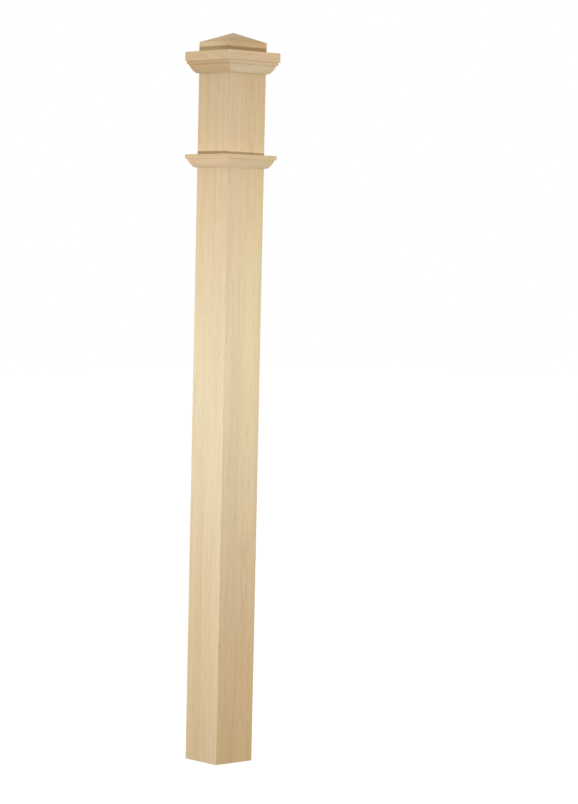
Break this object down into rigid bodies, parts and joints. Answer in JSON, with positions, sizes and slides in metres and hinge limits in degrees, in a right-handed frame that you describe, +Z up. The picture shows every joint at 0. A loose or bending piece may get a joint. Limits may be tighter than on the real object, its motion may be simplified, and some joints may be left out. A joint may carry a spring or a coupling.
{
  "type": "box newel post",
  "caption": "Square hollow box newel post of mitred boards, with a band moulding, a moulded cap under a flat plate, and a low pyramid block on top.",
  "frame": {"origin": "middle of the foot, on the floor", "axes": "+Z up along the post's axis, -Y out of the front board, +X out of the right board"},
  "size_m": [0.127, 0.127, 1.3716],
  "materials": {
    "shaft_oak": "unfinished sanded oak, fine straight grain along the post",
    "moulding_oak": "unfinished planed oak, grain along each length",
    "plate_oak": "unfinished sanded oak, grain from left to right",
    "block_oak": "unfinished sanded oak, grain from front to back"
  },
  "bodies": {
    "root": {"shaft_board_front": "shaft_oak", "shaft_board_right": "shaft_oak", "shaft_board_back": "shaft_oak", "shaft_board_left": "shaft_oak", "band_moulding_front": "moulding_oak", "band_moulding_right": "moulding_oak", "band_moulding_back": "moulding_oak", "band_moulding_left": "moulding_oak", "cap_moulding_front": "moulding_oak", "cap_moulding_right": "moulding_oak", "cap_moulding_back": "moulding_oak", "cap_moulding_left": "moulding_oak", "cap_plate": "plate_oak", "pyramid_block": "block_oak"}
  },
  "joints": []
}
